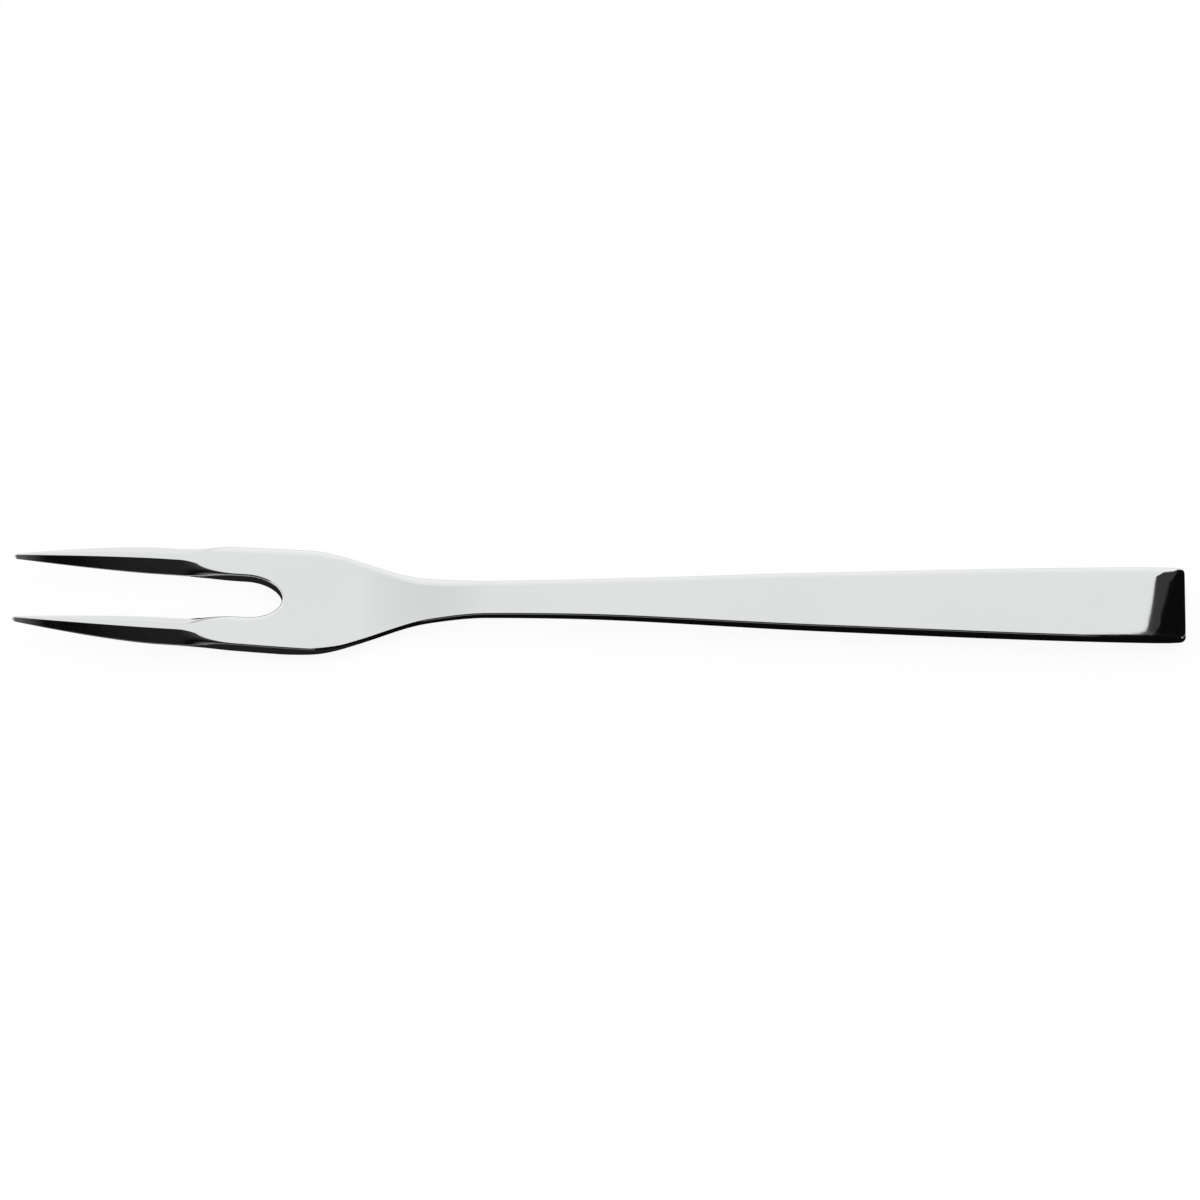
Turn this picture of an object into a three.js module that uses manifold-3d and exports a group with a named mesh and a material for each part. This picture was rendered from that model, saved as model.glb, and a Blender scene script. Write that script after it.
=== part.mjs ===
// A two-tined carving fork in polished steel with a hollow handle.
// Millimetres. +X runs from the tines to the end of the handle, +Z is up from the table, and the fork is
// the same on both sides of the XZ plane. Lengths along the fork are measured from the tips of the tines.
import * as THREE from 'three';
import { mergeVertices } from 'three/addons/utils/BufferGeometryUtils.js';
import Module from 'manifold-3d';

// Lengths along the fork
const TINE_LENGTH = 59.5;
const CROWN_LENGTH = 45.5;
const HANDLE_LENGTH = 155;
const TAPER_LENGTH = 32;
const BEVEL_LENGTH = 36.5;
const BEVEL_RUNOUT = 12.5;
const SLOT_END_LENGTH = 8;
const SHOULDER_SETBACK = 6;
const BELLY_SETBACK = 13.5;
const BELLY_LENGTH = 3.5;
const NECK_LENGTH = 12.5;
const WAIST_LENGTH = 15;
const ARCH_LENGTH = 35;
const GRIP_SETBACK = 75;
const REST_LENGTH = 43;

// Widths
const HEAD_WIDTH = 26.2;
const TINE_SPREAD = 25.2;
const TIP_SPACING = 16.3;
const SLOT_WIDTH = 10.7;
const SLOT_MOUTH_WIDTH = 11.2;
const TIP_WIDTH = 1.3;
const RIDGE_WIDTH = 1.1;
const NECK_START_WIDTH = 10.9;
const NECK_WIDTH = 9;
const WAIST_WIDTH = 9.3;
const GRIP_WIDTH = 14.2;
const END_WIDTH = 18.6;

// Depths and heights
const HEAD_DEPTH = 3.3;
const TIP_DEPTH = 1.1;
const BEVEL_DEPTH = 2.3;
const UNDER_BEVEL_WIDTH = 1.6;
const UNDER_BEVEL_DEPTH = 0.9;
const NECK_DEPTH = 4.2;
const NECK_HEIGHT = 1.4;
const HANDLE_DEPTH = 6.3;
const NECK_SIDE = 1.05;
const GRIP_SIDE = 1.7;
const TINE_LIFT = THREE.MathUtils.degToRad(5.4);
const BELLY_BEND = 2.5;
const EDGE_RADIUS = 0.6;

// The end of the handle
const END_ROLL = 9;
const END_FLAT = 2;
const END_CORNER = 1.2;

// Inside the handle
const WALL = 0.6;
const CLEARANCE = 0.3;
const SOLDER_WIDTH = 0.4;
const SOLDER_HEIGHT = 0.9;
const SOLDER_SETBACK = 3;
const TANG_LENGTH = 55;
const TANG_SIDE_ROOM = 1.7;
const TANG_TOP_ROOM = 0.75;
const TANG_TIP_WIDTH = 3.2;
const NOTCH_RADIUS = 0.9;
const NOTCH_SETBACK = 20;
const NOTCH_SPACING = 14;
const NOTCH_COUNT = 3;
const CEMENT_SETBACK = 10;
const CEMENT_COVER = 8;

// Forms without a unit: how full a tine's taper and the rolled end of the handle are, how much of a tapering
// tine's lost depth comes off its underside, and how much of the half width the rounded underside takes.
const TAPER_FULLNESS = 1.5;
const ROLL_FULLNESS = 3;
const UNDERSIDE_SHARE = 0.27;
const ROUNDING_SHARE = 0.7;

// Places that follow from those sizes
const MOUTH_AT = TINE_LENGTH + CROWN_LENGTH;
const END_AT = MOUTH_AT + HANDLE_LENGTH;
const RUNOUT_AT = BEVEL_LENGTH + BEVEL_RUNOUT;
const SLOT_END_AT = TINE_LENGTH - SLOT_END_LENGTH;
const WIDEST_AT = TINE_LENGTH + SHOULDER_SETBACK;
const BELLY_AT = TINE_LENGTH + BELLY_SETBACK;
const NECK_AT = MOUTH_AT - NECK_LENGTH;
const ROLL_AT = END_AT - END_ROLL;
const TINE_WIDTH = (TINE_SPREAD - SLOT_MOUTH_WIDTH) / 2;
const TANG_WIDTH = NECK_WIDTH - 2 * (WALL + TANG_SIDE_ROOM);
const TANG_DEPTH = NECK_DEPTH - 2 * (WALL + TANG_TOP_ROOM);

// Facets of each rounded corner of a section, and steps of each stretch along the fork
const TOP_FACETS = 2;
const UNDERSIDE_FACETS = 4;
const NOTCH_FACETS = 16;
const TAPER_STEPS = 9;
const RUNOUT_STEPS = 6;
const TINE_STEPS = 3;
const SLOT_END_STEPS = 7;
const CROWN_STEPS = 18;
const HANDLE_STEPS = 16;
const ROLL_STEPS = 6;
const CORNER_STEPS = 3;
const TANG_STEPS = 12;
const SAME_PLACE = 1e-5;

const wasm = await Module();
wasm.setup();

const { lerp, clamp, smoothstep } = THREE.MathUtils;

// A smooth curve through [place, value] stations that never swings past them: each station's slope is the
// harmonic mean of the slopes on its two sides, or level at a peak, a dip and both ends.
function curveThrough(stations) {
  const slopes = stations.map(([place, value], i) => {
    const before = stations[i - 1];
    const after = stations[i + 1];
    if (!before || !after) return 0;
    const slopeIn = (value - before[1]) / (place - before[0]);
    const slopeOut = (after[1] - value) / (after[0] - place);
    return slopeIn * slopeOut > 0 ? (2 * slopeIn * slopeOut) / (slopeIn + slopeOut) : 0;
  });
  return (x) => {
    const place = clamp(x, stations[0][0], stations.at(-1)[0]);
    const next = Math.max(1, stations.findIndex((station) => place <= station[0]));
    const [x0, y0] = stations[next - 1];
    const [x1, y1] = stations[next];
    const span = x1 - x0;
    const t = (place - x0) / span;
    const blend = t * t * (3 - 2 * t);
    const rise = span * (slopes[next - 1] * t * (1 - t) ** 2 - slopes[next] * t * t * (1 - t));
    return lerp(y0, y1, blend) + rise;
  };
}

// Evenly spaced places from one length to another, both included.
function placesBetween(from, to, count) {
  return Array.from({ length: count + 1 }, (_, i) => lerp(from, to, i / count));
}

// Places along the last quarter turn of a round end, closing up towards it.
function placesRound(centre, radius, count) {
  return placesBetween(0, Math.PI / 2, count).slice(0, -1).map((angle) => centre + radius * Math.sin(angle));
}

// Several lists of places as one list in order, without places that fall together.
function inOrder(...lists) {
  const sorted = lists.flat().sort((a, b) => a - b);
  return sorted.filter((place, i) => i === 0 || place - sorted[i - 1] > SAME_PLACE);
}

// Outer half width of the whole fork behind the tapering tips.
const halfWidthAt = curveThrough([
  [TAPER_LENGTH, TINE_SPREAD / 2],
  [WIDEST_AT, HEAD_WIDTH / 2],
  [NECK_AT, NECK_START_WIDTH / 2],
  [MOUTH_AT, NECK_WIDTH / 2],
  [MOUTH_AT + WAIST_LENGTH, WAIST_WIDTH / 2],
  [MOUTH_AT + GRIP_SETBACK, GRIP_WIDTH / 2],
  [END_AT, END_WIDTH / 2],
]);

// Depth of the whole fork behind the tapering tips.
const depthAt = curveThrough([
  [TAPER_LENGTH, HEAD_DEPTH],
  [BELLY_AT + BELLY_LENGTH, HEAD_DEPTH],
  [MOUTH_AT, NECK_DEPTH],
  [END_AT - REST_LENGTH, HANDLE_DEPTH],
  [END_AT, HANDLE_DEPTH],
]);

// Height of the top face from the belly of the head to the end of the handle.
const topBehindBelly = curveThrough([
  [BELLY_AT, HEAD_DEPTH],
  [BELLY_AT + BELLY_LENGTH, HEAD_DEPTH],
  [MOUTH_AT, NECK_HEIGHT + NECK_DEPTH],
  [MOUTH_AT + ARCH_LENGTH, HANDLE_DEPTH],
  [END_AT, HANDLE_DEPTH],
]);

// Height of the flat side that the face turns down into, along the crown, neck and handle.
const sideAt = curveThrough([
  [TINE_LENGTH, NECK_SIDE],
  [MOUTH_AT + ARCH_LENGTH, NECK_SIDE],
  [END_AT - REST_LENGTH, GRIP_SIDE],
  [END_AT, GRIP_SIDE],
]);

// How far a tine has filled out, 0 at the tip and 1 where the taper ends.
const fillAt = (x) => 1 - (1 - clamp(x / TAPER_LENGTH, 0, 1)) ** TAPER_FULLNESS;

// How far the ground bevel has run out, 0 along the bevel and 1 where the tine is square again.
const runoutAt = (x) => smoothstep(x, BEVEL_LENGTH, RUNOUT_AT);

// Height of the underside of a full-depth tine: level at the belly and then straight up at the tine lift.
function tineUndersideAt(x) {
  const reach = Math.max(BELLY_AT - x, 0);
  return Math.tan(TINE_LIFT) * (Math.hypot(reach, BELLY_BEND) - BELLY_BEND);
}

// Half width of the slot between the tines, with its round end.
function slotHalfWidthAt(x) {
  if (x >= TINE_LENGTH) return 0;
  const past = Math.max(x - SLOT_END_AT, 0) / SLOT_END_LENGTH;
  const sides = lerp(SLOT_MOUTH_WIDTH, SLOT_WIDTH, smoothstep(x, TAPER_LENGTH, SLOT_END_AT));
  return sides / 2 * Math.sqrt(1 - past ** 2);
}

// One corner of a section, from the first point to the second round a corner point. Roundness 1 is a quarter
// of an ellipse and roundness 0 is a flat bevel.
function cornerPoints(from, to, corner, facets, roundness) {
  return placesBetween(0, Math.PI / 2, facets).map((angle, i) => {
    const flat = i / facets;
    return from.map((start, axis) => {
      const toCorner = corner[axis] - start;
      const toEnd = to[axis] - corner[axis];
      const round = start + toCorner * Math.sin(angle) + toEnd * (1 - Math.cos(angle));
      return lerp(lerp(start, to[axis], flat), round, roundness);
    });
  });
}

// A closed section in the YZ plane, from +Y over the top. Each corner is cut back by its [width, depth].
function sectionRing({ outer, inner, top, bottom, topCut, innerTopCut, underCut, innerUnderCut, roundness }) {
  return [
    ...cornerPoints([outer, top - topCut[1]], [outer - topCut[0], top], [outer, top], TOP_FACETS, roundness),
    ...cornerPoints(
      [inner + innerTopCut[0], top], [inner, top - innerTopCut[1]], [inner, top], TOP_FACETS, roundness),
    ...cornerPoints(
      [inner, bottom + innerUnderCut[1]], [inner + innerUnderCut[0], bottom], [inner, bottom],
      UNDERSIDE_FACETS, roundness),
    ...cornerPoints(
      [outer - underCut[0], bottom], [outer, bottom + underCut[1]], [outer, bottom],
      UNDERSIDE_FACETS, roundness),
  ];
}

// A closed solid through one ring of YZ points at each place along X.
function loft(places, ringAt) {
  const rings = places.map(ringAt);
  const points = rings[0].length;
  const steps = places.length - 1;
  const geometry = new THREE.CylinderGeometry(1, 1, 1, points, steps);
  const position = geometry.attributes.position;
  for (let i = 0; i < position.count; i += 1) {
    const step = Math.round((position.getY(i) + 0.5) * steps);
    const ring = rings[step];
    const across = position.getZ(i);
    const up = position.getX(i);
    const onAxis = Math.hypot(across, up) < 0.5;
    const turn = Math.round((Math.atan2(up, across) / (2 * Math.PI)) * points);
    const middle = [0, 1].map((axis) => ring.reduce((sum, point) => sum + point[axis], 0) / points);
    const [y, z] = onAxis ? middle : ring[(turn + points) % points];
    position.setXYZ(i, places[step], y, z);
  }
  return toSolid(geometry);
}

// Turns a three.js geometry into a closed solid for joining and cutting.
function toSolid(geometry) {
  const bare = geometry.clone();
  bare.deleteAttribute('normal');
  bare.deleteAttribute('uv');
  const merged = mergeVertices(bare, SAME_PLACE);
  const triangles = [];
  for (let i = 0; i < merged.index.count; i += 3) {
    const corners = [0, 1, 2].map((k) => merged.index.getX(i + k));
    if (new Set(corners).size === 3) triangles.push(...corners);
  }
  return new wasm.Manifold(new wasm.Mesh({
    numProp: 3,
    vertProperties: new Float32Array(merged.attributes.position.array),
    triVerts: new Uint32Array(triangles),
  }));
}

// Turns a solid into a named mesh with its own material.
function toMesh(name, solid, finish) {
  const { vertProperties, triVerts } = solid.getMesh();
  const geometry = new THREE.BufferGeometry();
  geometry.setAttribute('position', new THREE.BufferAttribute(vertProperties, 3));
  geometry.setIndex(new THREE.BufferAttribute(triVerts, 1));
  const flat = geometry.toNonIndexed();
  flat.computeVertexNormals();
  const mesh = new THREE.Mesh(flat, new THREE.MeshStandardMaterial(finish));
  mesh.name = name;
  return mesh;
}

// Cuts of the lower corners of the crown and neck, as [width, depth]: square beside the slot, and rounded up
// to the flat side behind it.
function underCutAt(x, halfWidth, depth) {
  const rounding = smoothstep(x, TINE_LENGTH, BELLY_AT + BELLY_LENGTH);
  return [
    lerp(EDGE_RADIUS, ROUNDING_SHARE * halfWidth, rounding),
    lerp(EDGE_RADIUS, depth - sideAt(x), rounding),
  ];
}

// Section of one half of the head: a tine, its half of the crown or its half of the neck.
function headSection(x) {
  const fill = fillAt(x);
  const bevel = 1 - runoutAt(x);
  const depth = x < BELLY_AT ? lerp(TIP_DEPTH, HEAD_DEPTH, fill) : depthAt(x);
  const bottom = x < BELLY_AT
    ? tineUndersideAt(x) + UNDERSIDE_SHARE * (HEAD_DEPTH - depth)
    : topBehindBelly(x) - depth;
  const fullOuter = halfWidthAt(x);
  const fullInner = slotHalfWidthAt(x);
  const middle = lerp(TIP_SPACING / 2, (fullOuter + fullInner) / 2, fill);
  const width = lerp(TIP_WIDTH, fullOuter - fullInner, fill);
  const tapering = x < TAPER_LENGTH;
  const outer = tapering ? middle + width / 2 : fullOuter;
  const inner = tapering ? middle - width / 2 : fullInner;
  const edge = Math.min(EDGE_RADIUS, depth / 4);
  const wide = width / TINE_WIDTH;
  const deep = depth / HEAD_DEPTH;
  const bevelWidth = wide * (TINE_WIDTH - RIDGE_WIDTH) / 2;
  const topCut = [lerp(edge, bevelWidth, bevel), lerp(edge, deep * BEVEL_DEPTH, bevel)];
  const tineUnderCut = [
    lerp(edge, wide * UNDER_BEVEL_WIDTH, bevel),
    lerp(edge, deep * UNDER_BEVEL_DEPTH, bevel),
  ];
  const joined = inner === 0;
  return sectionRing({
    outer,
    inner,
    top: bottom + depth,
    bottom,
    topCut,
    innerTopCut: joined ? [0, 0] : topCut,
    underCut: x < TINE_LENGTH ? tineUnderCut : underCutAt(x, outer, depth),
    innerUnderCut: joined ? [0, 0] : tineUnderCut,
    roundness: runoutAt(x),
  });
}

// Height of the seam between the two halves of the handle, at the foot of its flat sides.
const seamAt = (x) => topBehindBelly(x) - sideAt(x);

// Half width of the handle, or of the same outline drawn in by an inset, with its rounded corners.
function handleHalfWidthAt(x, inset) {
  const corner = Math.max(x - (END_AT - inset - END_CORNER), 0);
  const drawnIn = END_CORNER - Math.sqrt(Math.max(END_CORNER ** 2 - corner ** 2, 0));
  return halfWidthAt(x) - inset - drawnIn;
}

// Section of the handle, or of the same form drawn in by an inset all round.
function handleSection(x, inset) {
  const rolled = clamp((x - ROLL_AT) / (END_ROLL - inset), 0, 1);
  const left = (1 - rolled ** ROLL_FULLNESS) ** (1 / ROLL_FULLNESS);
  const rise = lerp(END_FLAT / 2, sideAt(x) - inset, left);
  const fall = lerp(END_FLAT / 2, depthAt(x) - sideAt(x) - inset, left);
  const seam = seamAt(x);
  const halfWidth = handleHalfWidthAt(x, inset);
  const edge = Math.max(EDGE_RADIUS - inset, EDGE_RADIUS / 5);
  const underCut = [ROUNDING_SHARE * halfWidth, fall];
  return sectionRing({
    outer: halfWidth,
    inner: -halfWidth,
    top: seam + rise,
    bottom: seam - fall,
    topCut: [edge, edge],
    innerTopCut: [edge, edge],
    underCut,
    innerUnderCut: underCut,
    roundness: 1,
  });
}

// Places along the handle, or along the same form drawn in, from one place to its rounded end.
function handlePlaces(inset, from) {
  return inOrder(
    placesBetween(from, ROLL_AT, HANDLE_STEPS),
    placesRound(ROLL_AT, END_ROLL - inset, ROLL_STEPS),
    placesRound(END_AT - inset - END_CORNER, END_CORNER, CORNER_STEPS),
    [END_AT - inset],
  );
}

// The handle's form drawn in by an inset, from one place to another or to its rounded end.
function handleForm(inset, from, to = END_AT - inset) {
  const places = handlePlaces(inset, from).filter((x) => x < to);
  return loft(inOrder(places, [to]), (x) => handleSection(x, inset));
}

// A slab between two heights over the seam, with a half width that may change along it.
function slabOverSeam(places, halfWidth, low, high) {
  return loft(places, (x) => [
    [halfWidth(x), seamAt(x) + low],
    [halfWidth(x), seamAt(x) + high],
    [-halfWidth(x), seamAt(x) + high],
    [-halfWidth(x), seamAt(x) + low],
  ]);
}

// A slab that is longer and wider than the handle.
function blockOverSeam(low, high) {
  const along = placesBetween(MOUTH_AT, END_AT - REST_LENGTH, HANDLE_STEPS);
  return slabOverSeam([MOUTH_AT - NECK_LENGTH, ...along, END_AT + END_ROLL], () => END_WIDTH, low, high);
}

// The head: two mirrored halves that meet along the middle of the crown, and the tang behind the shoulder.
function forkHead() {
  const shoulderAt = MOUTH_AT - CLEARANCE;
  const places = inOrder(
    placesBetween(0, TAPER_LENGTH, TAPER_STEPS),
    placesBetween(TAPER_LENGTH, RUNOUT_AT, RUNOUT_STEPS),
    placesBetween(RUNOUT_AT, SLOT_END_AT, TINE_STEPS),
    placesRound(SLOT_END_AT, SLOT_END_LENGTH, SLOT_END_STEPS),
    placesBetween(TINE_LENGTH, shoulderAt, CROWN_STEPS),
  );
  const half = loft(places, headSection);
  const otherHalf = loft(places, (x) => headSection(x).map(([y, z]) => [-y, z]).reverse());
  return half.add(otherHalf).add(tang(0));
}

// Height of the middle of the handle's depth, which the tang follows.
const middleAt = (x) => topBehindBelly(x) - depthAt(x) / 2;

// The tang with its keying notches, or the same form grown by a clearance.
function tang(growth) {
  const tipAt = MOUTH_AT + TANG_LENGTH;
  const places = placesBetween(MOUTH_AT - NECK_LENGTH / 2, tipAt + growth, TANG_STEPS);
  const bar = loft(places, (x) => {
    const tapered = clamp((x - MOUTH_AT) / TANG_LENGTH, 0, 1);
    const halfWidth = lerp(TANG_WIDTH, TANG_TIP_WIDTH, tapered) / 2 + growth;
    const halfDepth = TANG_DEPTH / 2 + growth;
    const middle = middleAt(x);
    return [
      [halfWidth, middle - halfDepth],
      [halfWidth, middle + halfDepth],
      [-halfWidth, middle + halfDepth],
      [-halfWidth, middle - halfDepth],
    ];
  });
  const notches = placesBetween(0, NOTCH_COUNT - 1, NOTCH_COUNT - 1).flatMap((i) => [-1, 1].map((side) => {
    const x = MOUTH_AT + NOTCH_SETBACK + i * NOTCH_SPACING;
    const radius = NOTCH_RADIUS - growth;
    const notch = new THREE.CylinderGeometry(radius, radius, HANDLE_DEPTH, NOTCH_FACETS);
    notch.rotateX(Math.PI / 2);
    notch.translate(x, side * TANG_WIDTH / 2, middleAt(x));
    return toSolid(notch);
  }));
  return notches.reduce((solid, notch) => solid.subtract(notch), bar);
}

// The pressed shell of the whole handle, open at its mouth.
function handleShell() {
  return handleForm(0, MOUTH_AT).subtract(handleForm(WALL, MOUTH_AT - NECK_LENGTH));
}

// A ring that follows the seam inside the handle, between two insets and two heights over the seam.
function seamRing(outerInset, innerInset, low, high, from) {
  const outer = slabOverSeam(
    handlePlaces(outerInset, from), (x) => handleHalfWidthAt(x, outerInset), low, high);
  const inner = slabOverSeam(
    handlePlaces(innerInset, from - NECK_LENGTH), (x) => handleHalfWidthAt(x, innerInset),
    low - HANDLE_DEPTH, high + HANDLE_DEPTH);
  return outer.subtract(inner);
}

// The bead of solder under the inside of the seam, from one side of the mouth round the end to the other.
function seamSolder() {
  const inset = WALL + CLEARANCE;
  const from = MOUTH_AT + SOLDER_SETBACK;
  return seamRing(inset, inset + SOLDER_WIDTH, -SOLDER_HEIGHT, 0, from)
    .intersect(handleForm(inset, from))
    .subtract(tang(CLEARANCE));
}

// The plug of cement that fills the front of the handle round the tang, clear of the solder bead.
function tangCement() {
  const plug = handleForm(WALL + CLEARANCE, MOUTH_AT + CEMENT_SETBACK, MOUTH_AT + TANG_LENGTH + CEMENT_COVER);
  const groove = seamRing(
    WALL, WALL + 2 * CLEARANCE + SOLDER_WIDTH, -SOLDER_HEIGHT - CLEARANCE, HANDLE_DEPTH, MOUTH_AT);
  return plug.subtract(tang(CLEARANCE)).subtract(groove);
}

const shell = handleShell();
const aboveSeam = blockOverSeam(CLEARANCE / 2, HANDLE_DEPTH);
const belowSeam = blockOverSeam(-HANDLE_DEPTH, -CLEARANCE / 2);
const POLISHED_STEEL = { color: 0xd2d5d5, roughness: 0.14, metalness: 1 };

const fork = new THREE.Group();
fork.position.x = -END_AT / 2;
fork.add(
  toMesh('fork_head', forkHead(), POLISHED_STEEL),
  toMesh('handle_upper_shell', shell.intersect(aboveSeam), POLISHED_STEEL),
  toMesh('handle_lower_shell', shell.intersect(belowSeam), POLISHED_STEEL),
  toMesh('seam_solder', seamSolder(), { color: 0xb9b4a4, roughness: 0.45, metalness: 1 }),
  toMesh('tang_cement', tangCement(), { color: 0x8d877b, roughness: 0.95, metalness: 0 }),
);

export default fork;
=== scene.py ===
"""A two-tined carving fork in mirror-polished steel, lying face up on a white table.

Metres. +X runs from the tips of the tines to the end of the handle and +Z is up. Places along the fork are
measured from the tips of the tines, and the frame's origin lies under the middle of the fork's length.
"""

import logging
import math
from collections.abc import Sequence
from dataclasses import dataclass
from enum import Enum
from functools import cached_property
from typing import NamedTuple

import bmesh
import bpy
from bmesh.types import BMesh
from bpy.types import Material, Node, NodeSocket, NodeTree, Object
from mathutils import Matrix, Vector


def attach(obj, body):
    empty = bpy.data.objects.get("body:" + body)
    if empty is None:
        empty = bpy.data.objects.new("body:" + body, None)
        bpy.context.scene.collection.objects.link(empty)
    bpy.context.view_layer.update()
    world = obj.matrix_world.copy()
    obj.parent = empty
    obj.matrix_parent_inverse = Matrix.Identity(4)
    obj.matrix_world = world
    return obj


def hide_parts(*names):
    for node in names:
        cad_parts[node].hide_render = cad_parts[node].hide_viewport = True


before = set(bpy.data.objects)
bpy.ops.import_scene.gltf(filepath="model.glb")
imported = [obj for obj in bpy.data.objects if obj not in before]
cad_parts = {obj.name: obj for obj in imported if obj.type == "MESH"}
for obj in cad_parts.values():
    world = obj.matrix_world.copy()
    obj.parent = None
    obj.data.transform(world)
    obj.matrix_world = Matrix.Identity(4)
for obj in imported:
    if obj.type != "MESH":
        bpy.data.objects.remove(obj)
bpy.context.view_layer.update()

LOG = logging.getLogger("carving_fork")
BODY = "root"
WELD = 1e-7
SHARP_ANGLE = math.radians(60)

Pair = tuple[float, float]
Triple = tuple[float, float, float]


class SurfacePoint(NamedTuple):
    """A point of a steel surface, and how near it lies to a polished-over rim, from 0 to 1."""

    x: float
    y: float
    z: float
    rim: float


class SectionPoint(NamedTuple):
    """A point of a section across the fork, with its nearness to a rim."""

    y: float
    z: float
    rim: float


def blend(start: float, end: float, share: float) -> float:
    """Returns the value a share of the way from start to end."""
    return start + (end - start) * share


def clamp(value: float, low: float = 0.0, high: float = 1.0) -> float:
    """Returns the value held between low and high."""
    return min(max(value, low), high)


def ease(place: float, start: float, end: float) -> float:
    """Returns a share that eases from 0 at start to 1 at end."""
    share = clamp((place - start) / (end - start))
    return share * share * (3.0 - 2.0 * share)


def even_places(start: float, end: float, steps: int) -> list[float]:
    """Returns evenly spaced places from start to end, both included."""
    return [blend(start, end, i / steps) for i in range(steps + 1)]


def round_places(centre: float, radius: float, steps: int) -> list[float]:
    """Returns places along a quarter turn from centre outwards, closing up towards its end."""
    return [centre + radius * math.sin(angle) for angle in even_places(0.0, math.pi / 2, steps)]


def in_order(*lists: Sequence[float]) -> list[float]:
    """Joins lists of places into one rising list.

    Args:
        lists: Places along the fork, which may share their ends.

    Returns:
        The places in order, without those that fall together.
    """
    places: list[float] = []
    for place in sorted(place for each in lists for place in each):
        if not places or place - places[-1] > WELD:
            places.append(place)
    return places


class SmoothCurve:
    """A curve through stations that never swings past them and is level at both ends."""

    def __init__(self, *stations: Pair) -> None:
        """Keeps stations of a place and the value there, in rising order, and works out their slopes."""
        self.stations = stations
        self.slopes = [self._slope(index) for index in range(len(stations))]

    def _slope(self, index: int) -> float:
        """Works out the slope at one station.

        Args:
            index: The station's place in the list.

        Returns:
            The harmonic mean of the slopes on its two sides, or 0 at a peak, a dip or an end.
        """
        if index in (0, len(self.stations) - 1):
            return 0.0
        (x0, y0), (x1, y1), (x2, y2) = self.stations[index - 1:index + 2]
        slope_in = (y1 - y0) / (x1 - x0)
        slope_out = (y2 - y1) / (x2 - x1)
        if slope_in * slope_out <= 0.0:
            return 0.0
        return 2.0 * slope_in * slope_out / (slope_in + slope_out)

    def __call__(self, place: float) -> float:
        """Gives the curve's value.

        Args:
            place: Where along the curve, held to its two ends.

        Returns:
            The value there.
        """
        place = clamp(place, self.stations[0][0], self.stations[-1][0])
        after = next(i for i in range(1, len(self.stations)) if place <= self.stations[i][0])
        (x0, y0), (x1, y1) = self.stations[after - 1], self.stations[after]
        span = x1 - x0
        share = (place - x0) / span
        rise_in = self.slopes[after - 1] * share * (1.0 - share) ** 2
        rise_out = self.slopes[after] * share * share * (1.0 - share)
        return blend(y0, y1, ease(place, x0, x1)) + span * (rise_in - rise_out)


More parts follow.
